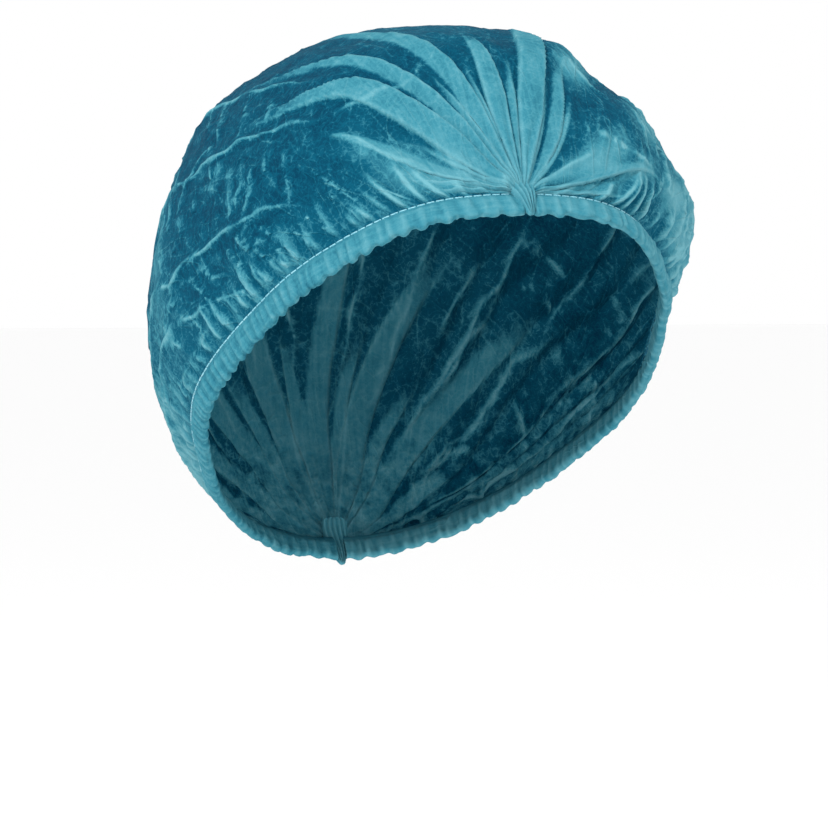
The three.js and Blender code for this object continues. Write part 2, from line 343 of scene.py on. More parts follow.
def pleat_folds(at, side, girth):
    """Lift and sideways slip in millimetres, how doubled the cloth is, and a painted highlight line along
    each pleat's raised edge.
    """
    lift, slip, doubled, edge = np.zeros((4, len(at)))
    crowded = np.clip(girth / GIRTH_WHERE_FULL, MOST_CROWDED, 1)
    ends = zip((at, 180 - at), FADES_FROM, NARROWEST, (FRONT_PLEATS, BACK_PLEATS))
    rows = [(from_end, fades, narrow, *row) for from_end, fades, narrow, table in ends for row in table]
    for from_end, fades, narrow, ats, sides, wide, rise, reach, crest in rows:
        alive = 1 - ease(fades, 1, from_end / reach)
        middle = follow(ats, sides, from_end) / 100
        half_wide = wide / 2 * crowded * (narrow + (1 - narrow) * alive)
        offset = (side - middle) * girth / 2
        across = np.clip(offset / half_wide, -1, 1)
        inside = ease(-PLEAT_EDGE / 2, PLEAT_EDGE / 2, half_wide - abs(offset))
        tilt = 1 if crest == 0 else FLAT_TILT + CREST_TILT * crest * across
        height = PLEAT_LOFT * rise * np.sqrt(crowded) * alive * tilt * inside
        higher = height > lift
        lift = np.where(higher, height, lift)
        push = (crest or np.sign(across)) * PLEAT_OVERHANG * across ** OVERHANG_POWER * alive * inside
        slip = np.where(higher, push, slip)
        doubled = np.maximum(doubled, inside * ease(0, DOUBLED_BELOW, alive))
        # A thin painted highlight line along each raised edge of the pleat.
        for where in (crest,) if crest else (-1, 1):
            line = np.exp(-((offset - where * half_wide) / EDGE_HIGHLIGHT_WIDTH) ** 2)
            edge = np.maximum(edge, line * ease(0, EDGE_HIGHLIGHT_BELOW, alive))
    return lift, slip, doubled, edge


# %% [markdown]
# ## Creases and gathers
# Between the pleats the cloth is pinched into thin standing creases: long ones that carry on where a
# pleat ends, and short ones that cross them. Along each hem the elastic gathers the cloth into folds
# that run up from the stitches and die out. Each crease is a path on the cloth with a sharp crest, and
# its row gives the path's degrees, its hundredths and the crest's rise. The ones seen from the front are
# listed, and the rest are drawn by lot with a fixed seed, because no two are alike.

# %% Creases listed
CREASES = [
    ([40, 55, 75, 92, 112], [-46, -46, -43, -44, -41], 1.3),
    ([36, 48, 60, 77, 88, 104], [-62, -61, -61, -61, -58, -58], 1.4),
    ([44, 54, 61, 72, 84, 94, 112], [-85, -83, -81, -81, -81, -77, -76], 1.4),
    ([63, 72, 80, 90, 108], [-96, -93, -91, -88, -88], 1.1),
    ([78, 74, 68, 66, 65, 65], [-38, -46, -57, -64, -72, -79], 1.1),
    ([59, 60, 62], [-65, -77, -81], 0.9),
    ([52, 54, 57], [-69, -76, -83], 0.8),
    ([44, 44, 46], [-69, -79, -85], 0.9),
    ([69, 77, 78, 77], [-56, -62, -67, -74], 0.9),
    ([73, 72, 70], [-66, -72, -79], 0.8),
    ([84, 82, 83, 80], [-50, -58, -68, -76], 0.9),
    ([88, 83, 80, 79], [-82, -87, -94, -99], 0.9),
    ([74, 71, 70, 69], [-83, -88, -94, -99], 0.9),
    ([40, 36, 33, 31], [-75, -81, -88, -94], 0.9),
    ([50, 47, 46], [-88, -93, -99], 0.8),
    ([62, 60, 56, 55], [-80, -86, -93, -99], 1.2),
    ([65, 62, 60, 59], [-84, -91, -96, -100], 1.2),
    ([55, 52, 50, 51], [-84, -90, -95, -99], 1.1),
    ([67, 65, 64], [-92, -96, -100], 1.0),
    ([32, 26, 20, 17], [-60, -53, -44, -35], 0.7),
    ([16, 18, 19], [-42, -36, -30], 0.7),
    ([34, 28, 20, 12], [-66, -68, -70, -78], 1.1),
    ([26, 20], [-86, -96], 0.7),
    ([13, 18, 24, 31], [52, 60, 68, 76], 0.8),
    ([56, 56, 58], [-64, -72, -79], 0.9),
    ([48, 49, 48], [-64, -72, -80], 0.8),
    ([63, 64, 62], [-62, -68, -75], 0.8),
    ([86, 88, 86], [-62, -70, -79], 1.0),
    ([92, 90, 92], [-47, -55, -62], 0.9),
    ([70, 67, 66], [-44, -50, -58], 0.9),
    ([60, 58, 58], [-46, -52, -59], 0.8),
    ([52, 50, 50], [-47, -53, -60], 0.7),
    ([78, 75, 74, 73], [-83, -89, -95, -99], 1.0),
    ([92, 90, 86, 84], [-84, -90, -96, -99], 1.0),
    ([58, 56, 53, 52], [-83, -88, -93, -98], 1.0),
    ([47, 44, 42, 41], [-84, -89, -94, -98], 1.0),
    ([38, 36, 34, 34], [-82, -88, -94, -98], 0.9),
    ([68, 66, 65], [-83, -88, -92], 0.9),
    ([34, 33, 31], [53, 62, 72], 1.0),
    ([42, 40, 38, 41], [56, 66, 76, 86], 1.1),
    ([49, 48, 50, 55], [60, 72, 84, 93], 1.1),
    ([21, 25, 25, 27], [24, 31, 40, 47], 1.2),
    ([34, 40, 44, 52], [30, 38, 48, 56], 1.2),
]
print("creases laid by hand:", len(CREASES))

# %% Creases drawn by lot
CREASE_SEED = 5
FOLD_MARKS = (-90, -76, -59, -42, -21, -5, 14, 29, 45, 60, 73, 86)
MARK_STARTS = (58, 74)
MARK_STARTS_RIGHT = 102
MARK_STOPS = 150
MARK_END = 158
MARK_RUN = (26, 54)
MARK_BEND = (-2.2, 2.2)
MARK_RISE = (1.1, 1.7)
MARK_OVERLAP = (2, 9)
LONG_CREASES = 16
CROSS_CREASES = 48
LONG_RUN = (14, 34)
LONG_CLIMB = (-6, 6)
CROSS_RUN = (-5, 5)
CROSS_CLIMB = (8, 20)
LOT_AT = (36, 150)
LOT_SIDE = (-94, 94)
LOT_BEND = (-1.5, 1.5)
LOT_RISE = (0.7, 1.3)
LAST_SIDE = 98
CROSS_FROM_SIDE = 38


def draw_creases():
    """Creases by lot: where the flat strip was pleated, and long and short ones between these marks."""
    lots = np.random.default_rng(CREASE_SEED)
    marks = []
    for side in FOLD_MARKS:
        starts = MARK_STARTS_RIGHT if side < -28 else lots.uniform(*MARK_STARTS)
        while starts < MARK_STOPS:
            ends = min(starts + lots.uniform(*MARK_RUN), MARK_END)
            bends = side + lots.uniform(*MARK_BEND, 4)
            marks.append((np.linspace(starts, ends, 4), bends, lots.uniform(*MARK_RISE)))
            starts = ends - lots.uniform(*MARK_OVERLAP)
    rows = []
    while len(rows) < LONG_CREASES + CROSS_CREASES:
        lengthwise = len(rows) < LONG_CREASES
        at, side = lots.uniform(*LOT_AT), lots.uniform(*LOT_SIDE)
        run = lots.uniform(*(LONG_RUN if lengthwise else CROSS_RUN))
        climb = lots.uniform(*(LONG_CLIMB if lengthwise else CROSS_CLIMB))
        bends = lots.uniform(*LOT_BEND, 2)
        laid_by_hand = at < 100 and side < -28 or at < 60 and abs(side) < 34
        if laid_by_hand or not lengthwise and abs(side) < CROSS_FROM_SIDE:
            continue
        ats = [at, at + run * 0.35 + bends[0], at + run * 0.7 - bends[1], at + run]
        sides = [side, side + climb * 0.35 + bends[1], side + climb * 0.7 - bends[0], side + climb]
        rows.append((ats, np.clip(sides, -LAST_SIDE, LAST_SIDE), lots.uniform(*LOT_RISE)))
    return marks + rows


print("creases drawn by lot:", len(draw_creases()))

# %% Heights of creases
ALONG_PER_DEGREE = 1.9
CREASE_REACH = 8.0
CREASE_WAVE = 0.4
WAVE_ACROSS = 2.9
WAVE_ALONG = 3.7
CREST = 0.8
CREST_SHARE = 0.7
CREST_HIGHLIGHT_WIDTH = 0.75
FLANK = 3.0
FLANK_SHARE = 0.3
SHADOW = 0.35
SHADOW_FROM_CREST = 1.8
SHADOW_WIDTH = 1.2
SHADE_OF_LOW = 0.55
SHADE_OF_RISE = 0.35


def crease_lift(at, side, girth):
    """Height of the creases in millimetres, and their painted shading: a highlight along each crest and a
    shadow beside it.
    """
    lift, line = np.zeros((2, len(at)))
    across, along = side * girth / 2, at * ALONG_PER_DEGREE
    for ats, sides, rise in CREASES + draw_creases():
        us = np.array(sides) * (np.interp(ats, CHART_AT, GIRTHS) / 200)
        vs = np.array(ats) * ALONG_PER_DEGREE
        steps = np.hypot(np.diff(us), np.diff(vs))
        walked = np.concatenate([[0], np.cumsum(steps)])
        close = (across > us.min() - CREASE_REACH) & (across < us.max() + CREASE_REACH)
        close &= (along > vs.min() - CREASE_REACH) & (along < vs.max() + CREASE_REACH)
        x, y = across[close], along[close]
        wave = (CREASE_WAVE * np.sin(x / WAVE_ACROSS + ats[0])
                + CREASE_WAVE * np.sin(y / WAVE_ALONG + sides[0]))
        best, place_on = np.full_like(x, np.inf), np.zeros_like(x)
        for i, step in enumerate(steps):
            du, dv = us[i + 1] - us[i], vs[i + 1] - vs[i]
            t = np.clip(((x - us[i]) * du + (y - vs[i]) * dv) / step ** 2, 0, 1)
            far = np.hypot(x + wave - us[i] - t * du, y + wave - vs[i] - t * dv)
            place_on = np.where(far < best, walked[i] + t * step, place_on)
            best = np.minimum(far, best)
        shown = np.sin(math.pi * np.clip(place_on / walked[-1], 0.02, 0.98)) ** 0.5
        sharp = np.exp(-(np.sqrt(best ** 2 + 0.04) - 0.2) / CREST)
        ridge = rise * shown * (CREST_SHARE * sharp + FLANK_SHARE * np.exp(-(best / FLANK) ** 2))
        lift[close] = np.maximum(lift[close], ridge)
        # Painted highlight along the crest, less a painted shadow a little to its side, stronger on higher
        # creases.
        shade = np.exp(-(best / CREST_HIGHLIGHT_WIDTH) ** 2)
        shade = shade - SHADOW * np.exp(-((best - SHADOW_FROM_CREST) / SHADOW_WIDTH) ** 2)
        shade = shade * shown * (SHADE_OF_LOW + SHADE_OF_RISE * rise)
        line[close] = np.where(abs(shade) > abs(line[close]), shade, line[close])
    return lift, line


# %% Gathers along the hems
GATHER_SEED = 11
GATHER_SPACING = (4.5, 8.5)
GATHER_REACH = (9, 30)
GATHER_WIDTH = (0.9, 1.7)
GATHER_RISE = (0.9, 2.0)
GATHER_SLANT = (-0.08, 0.34)
GATHERS_FROM = 4.0
GATHERS_TO_END = 3
GATHER_FADES_FROM = 0.35
GATHER_GROWS = (-1, 5)


def draw_gathers(left):
    """Rows of gathers along one hem: place along it, reach up the cloth, width, rise and slant."""
    lots = np.random.default_rng(GATHER_SEED + left)
    rows = []
    along = GATHERS_FROM
    while along < HEM_LENGTHS[-1] - GATHERS_TO_END:
        rows.append((along, lots.uniform(*GATHER_REACH), lots.uniform(*GATHER_WIDTH),
                     lots.uniform(*GATHER_RISE), lots.uniform(*GATHER_SLANT)))
        along += lots.uniform(*GATHER_SPACING)
    return rows


def gather_lift(at, side, girth):
    """Height of the gathers in millimetres, and a painted highlight along each crest."""
    lift, line = np.zeros((2, len(at)))
    along = np.interp(at, CHART_AT, HEM_LENGTHS)
    up = (1 - abs(side)) * girth / 2
    for left in (0, 1):
        here = side > 0 if left else side <= 0
        for middle, reach, wide, rise, slant in draw_gathers(left):
            offset = along - middle - slant * up
            ridge = np.exp(-(offset / (wide * (1 + up / reach))) ** 2)
            shown = (1 - ease(GATHER_FADES_FROM, 1, up / reach)) * ease(*GATHER_GROWS, up)
            lift += np.where(here, rise * ridge * shown, 0)
            # Painted highlight along each gather's crest, stronger where the gather rises higher.
            crest = np.exp(-(offset / CREST_HIGHLIGHT_WIDTH) ** 2) * shown * rise / GATHER_WIDTH[1]
            line = np.maximum(line, np.where(here, crest, 0))
    return lift, line


print("gathers on the right and left hem:", len(draw_gathers(0)), len(draw_gathers(1)))

# %% [markdown]
# ## The crown
# The crown begins as a flat cut sheet: a grid, with more faces along the folds and along its two long
# edges, where the gathers are narrow. Its flat coordinates are the two numbers of the formula, so every
# vertex knows its place on the cap. The vertices are then moved there, lifted along the folds, and
# crumpled a little with noise. Solidify gives the cloth its thickness last.

# %% Cut the sheet
CROWN_FROM = 0.35
CROWN_TO = 179.65
SHEET_COLUMNS = 164
SHEET_ROWS = 128
HEM_ZONE = 7.0
HEM_ZONE_GIRTH = 40
FOLD_ZONE_GIRTH = 60
FOLD_SHOWS = 0.04
CREST_SHOWS = 0.22
GATHER_SHOWS = 0.5
HEM_SIDE = 0.95
SEEN_TO = 100


def sheet_places(x, y):
    """Degrees, side and girth of a place on the flat sheet, whose rows lie closer near its two ends."""
    even = (y + 1) / 2
    at = CROWN_FROM + (CROWN_TO - CROWN_FROM) * (even - np.sin(2 * math.pi * even) / (4 * math.pi))
    return at, x, np.interp(at, CHART_AT, GIRTHS)


def add_rows_of_faces(sheet, wanted):
    """Subdivides the faces for whose centres wanted, given degrees, side and girth, is true."""
    centres = np.array([polygon.center for polygon in sheet.data.polygons])
    chosen = wanted(*sheet_places(centres[:, 0], centres[:, 1]))
    bpy.ops.object.mode_set(mode="EDIT")
    bpy.ops.mesh.select_mode(type="FACE")
    bpy.ops.mesh.select_all(action="DESELECT")
    bpy.ops.object.mode_set(mode="OBJECT")
    sheet.data.polygons.foreach_set("select", chosen)
    bpy.ops.object.mode_set(mode="EDIT")
    bpy.ops.mesh.subdivide(number_cuts=1)
    bpy.ops.object.mode_set(mode="OBJECT")
    print("faces made finer:", int(chosen.sum()), "faces now:", len(sheet.data.polygons))


def near_folds(at, side, girth):
    """Whether a place lies on the edge of a pleat, a crease or a gather, or near a hem."""
    shows = np.maximum(pleat_folds(at, side, girth)[3], crease_lift(at, side, girth)[1])
    shows = np.maximum(shows, gather_lift(at, side, girth)[1]) > FOLD_SHOWS
    near_hem = ((1 - abs(side)) * girth / 2 < HEM_ZONE) & (girth > HEM_ZONE_GIRTH)
    return shows & (girth > FOLD_ZONE_GIRTH) | near_hem


def on_crests(at, side, girth):
    """Whether a place lies on a crest that is seen from the front."""
    creases = (crease_lift(at, side, girth)[1] > CREST_SHOWS) & (side < HEM_SIDE)
    return (creases | (gather_lift(at, side, girth)[1] > GATHER_SHOWS)) & (at < SEEN_TO)


def positions(mesh):
    """The vertices of a mesh, one row each."""
    flat = np.empty(len(mesh.vertices) * 3)
    mesh.vertices.foreach_get("co", flat)
    return flat.reshape(-1, 3)


crown = add_shape(bpy.ops.mesh.primitive_grid_add, x_subdivisions=SHEET_COLUMNS,
                  y_subdivisions=SHEET_ROWS, size=2)
crown.name = "crown_cloth"
add_rows_of_faces(crown, near_folds)
add_rows_of_faces(crown, on_crests)
print("cut sheet:", len(crown.data.vertices), "vertices")

# %% Crumples, dents and folds at the bunches
CRUMPLE = 0.8
CRUMPLE_LENGTH = 26
CRUMPLE_WIDTH = 9
CRUMPLE_LAYER = 3.0
CRUMPLE_NOISE = (0.9, 2.1, 3, 1.0, 2.0)
DENT = 1.3
DENT_LENGTH = 38
THROAT_RISE = 1.2
THROAT_WIDTH = 5
FAN_RISE = 0.6
FAN_FOLDS = 26
FAN_FADES = (5, 15)


def crumple(along, across):
    """Ridged noise in millimetres of cloth, longer along the pleats than across them."""
    places = zip(along / CRUMPLE_LENGTH, across / CRUMPLE_WIDTH)
    return np.array([noise.ridged_multi_fractal((x, y, CRUMPLE_LAYER), *CRUMPLE_NOISE)
                     for x, y in places]) - 1.0


def dents(points):
    """Slow hollows, so that no stretch of the cloth is a perfect curve."""
    return np.array([noise.noise(Vector(p) / DENT_LENGTH) for p in points])


def bunch_folds(at, side):
    """Small folds that fan out of each bunch, on the swelling where the cloth comes out of it."""
    to_bunch = np.minimum(at, 180 - at)
    fan = abs(np.sin(side * FAN_FOLDS + 0.8 * np.sin(at / 2.1)))
    fan = FAN_RISE * fan * np.clip(to_bunch / 3, 0, 1) * (1 - ease(*FAN_FADES, to_bunch))
    return THROAT_RISE * np.exp(-(to_bunch / THROAT_WIDTH) ** 2) * ease(0, 0.25, 1 - abs(side)) + fan


# %% Waves of the opened strip
WAVE_SEED = 61
WAVE_RISE = 1.1
WAVE_SPACING = (6, 13)
WAVE_WANDER = 2.4
WANDER_LENGTHS = (19, 7.3)
PLEATED_SIDE = (-0.34, -0.22)
WAVES_START_RIGHT = (84, 112)
WAVES_START_LEFT = (52, 84)
WAVES_END = (140, 168)


def uneven_waves(along, spacing, seed):
    """A phase that grows by one at each uneven step, so that a wave on it has waves of uneven length."""
    lots = np.random.default_rng(seed)
    marks = np.concatenate([[-5], -5 + np.cumsum(lots.uniform(*spacing, 400))])
    return np.interp(along, marks, np.arange(len(marks)))


def long_waves(at, side, girth):
    """Slack of the opened strip: uneven waves that run from bunch to bunch, low where pleats lie."""
    wander = np.sin(at / WANDER_LENGTHS[0] + 2 * side) * WAVE_WANDER
    wander = wander + 0.5 * WAVE_WANDER * np.sin(at / WANDER_LENGTHS[1] - 5 * side)
    phase = uneven_waves(side * 100 + 100 + wander, WAVE_SPACING, WAVE_SEED)
    swell = abs(np.sin(math.pi * phase)) * 2 - 1
    to_left = ease(*PLEATED_SIDE, side)
    shown = ease(*WAVES_START_RIGHT, at) * (1 - to_left) + ease(*WAVES_START_LEFT, at) * to_left
    return WAVE_RISE * swell * shown * (1 - ease(*WAVES_END, at)) * np.clip(girth / GIRTH_WHERE_FULL, 0, 1)


# %% [markdown]
# ## Spots on the crown
# The outline is uneven, and the cloth looks paler where it lies in layers; painted light makes it paler
# where light comes through, on smooth lit places and on a shaded underside.
# Both are laid on with soft oval spots. A row gives the spot's middle in degrees and hundredths, its
# length and width in the same measures, and then how far it bulges in millimetres or how pale it is.

# %% Bulges and patches of paleness and painted light
BULGES = [
    (80, -40, 18, 12, 2.0),
    (68, -24, 18, 10, 1.2),
    (34, -4, 16, 20, -2.2),
    (46, 38, 26, 12, -4.6),
    (26, 44, 12, 8, -1.6),
    (33, 28, 6, 4, 1.4),
    (46, 62, 12, 9, -2.6),
    (56, 77, 12, 9, 1.2),
    (74, 98, 14, 10, -1.8),
    (80, 92, 12, 12, -1.6),
    (29, 10, 12, 9, -3.6),
    (92, -58, 12, 14, -2.2),
    (124, -79, 16, 14, -2.6),
    (150, -87, 10, 14, -2.2),
]
PALE_AND_LIT_PATCHES = [
    (13, -80, 13, 15, 1.1),
    (25, -72, 8, 6, 0.6),
    (13, 64, 12, 9, 1.2),
    (24, 76, 12, 8, 1.1),
    (6, 84, 20, 12, 0.9),
    (62, 78, 28, 22, 1.2),
    (48, 56, 13, 9, 1.1),
    (25, 33, 7, 7, 1.3),
    (36, 31, 10, 9, 0.9),
    (37, 60, 9, 10, 1.0),
    (43, 81, 8, 9, 1.5),
    (52, 90, 12, 9, 1.3),
    (92, -72, 8, 26, 0.7),
    (92, -92, 14, 10, 0.5),
    (36, -8, 18, 20, 0.3),
    (24, 50, 14, 12, 0.2),
    # This patch is painted light on the underside by the nape, which the lamps leave in shade.
    (134, -90, 34, 20, 1.5),
    (130, 90, 34, 16, 0.8),
    (172, 0, 16, 90, 0.5),
]
PALE_HEM = 0.35
PALE_HEM_TO = (2, 22)
PALE_BACK = 0.3
PALE_BACK_FROM = (100, 135)


def spot_weight(at, side, spot_at, spot_side, long, wide):
    """1 in the middle of an oval spot of the cloth, fading to 0 around it."""
    off_at = (at - spot_at) / long
    off_side = (side * 100 - spot_side) / wide
    return np.exp(-off_at ** 2 - off_side ** 2)


def soft_bulges(at, side):
    """Slow bulges and hollows that give the cap its uneven outline."""
    return sum(rise * spot_weight(at, side, *spot) for *spot, rise in BULGES)


def paleness_and_painted_light(at, side, to_hem):
    """Where the cloth is pale: by the hem and where it lies in layers, and painted light where light comes
    through, on smooth lit places and towards the nape.
    """
    pale = PALE_HEM * (1 - ease(*PALE_HEM_TO, to_hem))
    for *spot, amount in PALE_AND_LIT_PATCHES:
        pale = np.maximum(pale, amount * spot_weight(at, side, *spot))
    return np.maximum(pale, PALE_BACK * ease(*PALE_BACK_FROM, at))


print("bulges:", len(BULGES), "pale patches:", len(PALE_AND_LIT_PATCHES))

# %% Shape the sheet on the cap
HEM_TUCK = 1.2
TUCK_FROM = 0.985
FLATTER_WHERE_DOUBLED = dict(crumple=0.6, crease=0.7, wave=0.8, crest=0.6)
GROWS_FROM_HEM = dict(crumple=(0, 14), crease=(0, 3), wave=(2, 20), pleat=(0, 6), nape=(0, 8))
GROWS_FROM_BUNCH = (3, 16)
EDGE_HIGHLIGHT_SHARE = 0.35
DARKEST_PAINTED_SHADOW = -0.4
NAPE_FROM = (94, 112)
NAPE_BAND_ENDS = (34, 60)
CRUMPLED_ALL_OVER = 0.25
CLOTH_UNIT = 100


def move_to(mesh, points):
    """Moves the vertices to points given in millimetres."""
    mesh.vertices.foreach_set("co", (points * MM).ravel())
    mesh.update()


def unroll(mesh, across, along):
    """Lays the cloth flat in the UV map, in tenths of a metre, for patterns that follow the cloth."""
    corners = np.empty(len(mesh.loops), int)
    mesh.loops.foreach_get("vertex_index", corners)
    layer = mesh.uv_layers.active or mesh.uv_layers.new(name="cloth")
    laid = np.stack([across, along], axis=1)[corners] / CLOTH_UNIT
    layer.data.foreach_set("uv", laid.astype(np.float32).ravel())


def add_attributes(mesh, **columns):
    """Numbers that the cloth material reads at each vertex."""
    for name, values in columns.items():
        layer = mesh.attributes.new(name, "FLOAT", "POINT")
        layer.data.foreach_set("value", np.full(len(mesh.vertices), values, np.float32))


def shape_crown(sheet):
    """Moves the flat sheet onto the cap with all its folds, and marks what the material reads."""
    flat = positions(sheet.data)
    at, side, girth = sheet_places(flat[:, 0], flat[:, 1])
    base = smooth_cloth(at, side)
    across, out = cloth_axes(at, side)
    lift, slip, doubled, edge = pleat_folds(at, side, girth)
    creases, crest_shading = crease_lift(at, side, girth)
    gathers, gather_highlights = gather_lift(at, side, girth)
    to_hem = (1 - abs(side)) * girth / 2
    flatter = {name: 1 - share * doubled for name, share in FLATTER_WHERE_DOUBLED.items()}
    grows = {name: ease(*reach, to_hem) for name, reach in GROWS_FROM_HEM.items()}
    free = grows["crumple"] * ease(*GROWS_FROM_BUNCH, np.minimum(at, 180 - at))
    rough = crumple(at * 2.0, side * girth / 2) * flatter["crumple"]
    total = lift * grows["pleat"] + creases * grows["crease"] * flatter["crease"] + gathers
    total += bunch_folds(at, side) + long_waves(at, side, girth) * grows["wave"] * flatter["wave"]
    total += free * (CRUMPLE * rough + DENT * dents(base))
    total += soft_bulges(at, side)
    points = base + total[:, None] * out + slip[:, None] * across
    down = np.where((side > 0)[:, None], hem_frame(at, 1)[1], hem_frame(at, 0)[1])
    points += HEM_TUCK * ease(TUCK_FROM, 1, abs(side))[:, None] * down
    move_to(sheet.data, points)
    # Painted highlights along the crests of creases and gathers and along pleat edges, with painted shadows
    # beside the creases, fainter where the cloth is doubled.
    crest_shading = np.where(gather_highlights > crest_shading, gather_highlights, crest_shading) * flatter["crest"]
    creased = np.clip(np.maximum(EDGE_HIGHLIGHT_SHARE * edge, crest_shading), DARKEST_PAINTED_SHADOW, 1)
    # The crumpled mask also says where the material paints glints and shade, most along the nape.
    by_nape = ease(*NAPE_FROM, at) * grows["nape"] * (1 - ease(*NAPE_BAND_ENDS, to_hem))
    add_attributes(sheet.data, doubled=doubled, creased=creased, pale=paleness_and_painted_light(at, side, to_hem),
                   crumpled=by_nape + CRUMPLED_ALL_OVER * free)
    unroll(sheet.data, side * girth / 2, at * ALONG_PER_DEGREE)


shape_crown(crown)
shaped = positions(crown.data) / MM
print("crown in mm:", shaped.min(0).round(), shaped.max(0).round())

# %% Give the cloth its thickness
CLOTH_THICKNESS = 0.35 * MM
IN_THE_HOLLOW = Vector((0, 0.02, 0.02))


def shade_smooth(mesh):
    """Shades the faces as one round surface."""
    for polygon in mesh.polygons:
        polygon.use_smooth = True


def thicken(piece):
    """A wall half to each side of the shaped face, applied, with smooth shading."""
    bpy.ops.object.select_all(action="DESELECT")
    piece.select_set(True)
    bpy.context.view_layer.objects.active = piece
    wall = piece.modifiers.new("wall", "SOLIDIFY")
    wall.thickness = CLOTH_THICKNESS
    wall.offset = 0
    bpy.ops.object.modifier_apply(modifier=wall.name)
    shade_smooth(piece.data)
    print(piece.name, "triangles:", sum(len(p.vertices) - 2 for p in piece.data.polygons))


middle_face = crown.data.polygons[len(crown.data.polygons) // 2]
if (middle_face.center - IN_THE_HOLLOW).dot(middle_face.normal) < 0:
    crown.data.flip_normals()
thicken(crown)

# %% [markdown]
# ## The ruched hem
# The hem is the sheet's own edge, folded inwards round the elastic and stitched along its top. The
# elastic draws it short, so it stands in small upright ruches and its lower edge is scalloped. Each side
# is a flat ribbon first, as long as the hem, which is then folded round and ruched.

# %% Fold the ribbon
CASING_DEPTH = 8.6
FOLD_RADIUS = 1.45
PINCHED = 0.62
FULL = 1.6
SWELLS_FROM = (0.3, 3.2)
SLIMMER_BELOW = 0.15
TURN_SHARE = 0.85


def fold_section(across):
    """Depth below the stitches and half-thickness of the casing, for -1, outer top, to 1, inner top."""
    leg = CASING_DEPTH - FOLD_RADIUS
    walked = (1 - abs(across)) * (leg + FOLD_RADIUS * math.pi / 2)
    turned = np.clip((walked - leg) / FOLD_RADIUS, 0, math.pi / 2)
    depth = np.minimum(walked, leg) + FOLD_RADIUS * np.sin(turned)
    swell = (FULL - PINCHED) * ease(*SWELLS_FROM, depth)
    swell = PINCHED + swell * (1 - SLIMMER_BELOW * ease(SWELLS_FROM[1], leg, depth))
    return depth, np.where(walked < leg, swell, np.cos(turned) * FULL * TURN_SHARE)


print("casing in mm: deepest", fold_section(np.zeros(1))[0][0], "thickest", 2 * FULL)

# %% Ruche the ribbons
RIBBON_COLUMNS = 26
RIBBON_ROWS = 470
CASING_FROM = 0.9
CASING_TO = 178.6
SEAM_RAISED = 0.35
RUCHE_SPACING = (2.2, 6.4)
RUCHE_SEED = 21
RUCHE_DEPTH = 0.5
RUCHE_SLANT = 0.12
INNER_SEED = 31
INNER_SLANT = -0.1
FINE_SPACING = (1.5, 3.2)
FINE_SEED = 51
FINE_SLANT = 0.2
FINE_SHARE = 0.4
LOOSE_FROM = (0.2, 3.5)
SCALLOP_SPACING = (4.2, 8.6)
SCALLOP_SEED = 41
SCALLOP_DROP = 0.9
DROP_ON_AVERAGE = 0.3
DROP_LIMIT = 1.1
DROP_FROM = (1, 7)
CALM_BELOW = 7.6
CALM = 0.4
LEAN_IN_AND_OUT = 0.7


def noise_along(places, length, row, layer=0.0):
    """Slow noise along a line, whose swells are about as long as length."""
    return np.array([noise.noise((p / length, row, layer)) for p in places])


def hem_drop(at, along, left):
    """How much further each place of the lower edge hangs, in millimetres."""
    scallops = np.cos(2 * math.pi * uneven_waves(along, SCALLOP_SPACING, SCALLOP_SEED + left))
    scallops += 0.5 * np.cos(2 * math.pi * uneven_waves(along, RUCHE_SPACING, RUCHE_SEED + left))
    near_front = 1 + 0.9 * np.exp(-(at / 40) ** 2)
    drop = SCALLOP_DROP * near_front * (scallops * 0.6 + 1.2 * noise_along(along, 16, 5.0 + left))
    return DROP_ON_AVERAGE + DROP_LIMIT * np.tanh(drop / DROP_LIMIT)


def hem_paleness(at, left):
    """Pale by the front bunch, dark on the right side of the head, paler on the left and by the nape."""
    return 0.15 + 0.4 * left - (1 - left) * ease(22, 58, at) + 0.5 * ease(90, 110, at)


